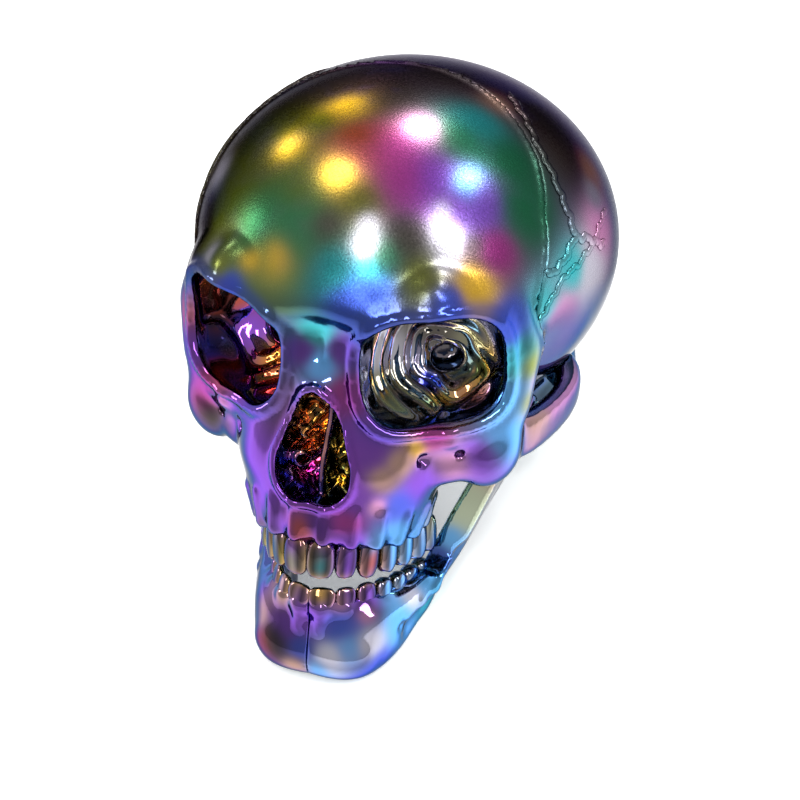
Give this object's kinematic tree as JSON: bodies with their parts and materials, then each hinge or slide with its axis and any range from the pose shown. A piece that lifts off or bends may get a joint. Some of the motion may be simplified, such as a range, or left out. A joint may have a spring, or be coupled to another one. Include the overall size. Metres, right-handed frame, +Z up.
{
  "type": "decorative skull",
  "caption": "Rainbow metal skull ornament lying back on its jaw and the back of its head, with a hollow two-shell head and a lower jaw that swings open on side pivots.",
  "frame": {"origin": "middle of the outline, on the surface it lies on", "axes": "+Z up, the face looks towards -Y and up, +X is the skull's own left"},
  "size_m": [0.1318, 0.193, 0.1487],
  "materials": {
    "front_shell_metal": "vacuum-metallised moulded plastic under a thin rainbow film, polished",
    "rear_shell_metal": "vacuum-metallised moulded plastic under a thin rainbow film, polished",
    "jaw_left_metal": "vacuum-metallised moulded plastic under a thin rainbow film, polished",
    "jaw_right_metal": "vacuum-metallised moulded plastic under a thin rainbow film, polished",
    "fixing_steel": "zinc-plated small fixings"
  },
  "bodies": {
    "skull": {"front_shell": "front_shell_metal", "rear_shell": "rear_shell_metal", "pivot_screw_left": "fixing_steel", "pivot_washer_left": "fixing_steel", "pivot_nut_left": "fixing_steel", "pivot_screw_right": "fixing_steel", "pivot_washer_right": "fixing_steel", "pivot_nut_right": "fixing_steel"},
    "jaw": {"jaw_left": "jaw_left_metal", "jaw_right": "jaw_right_metal"}
  },
  "joints": [
    {"name": "jaw_hinge", "type": "hinge", "parent": "skull", "child": "jaw", "pos_m": [0, 0.00091, 0.03608], "axis": [1, 0, 0], "range_deg": [-2.5, 25]}
  ]
}
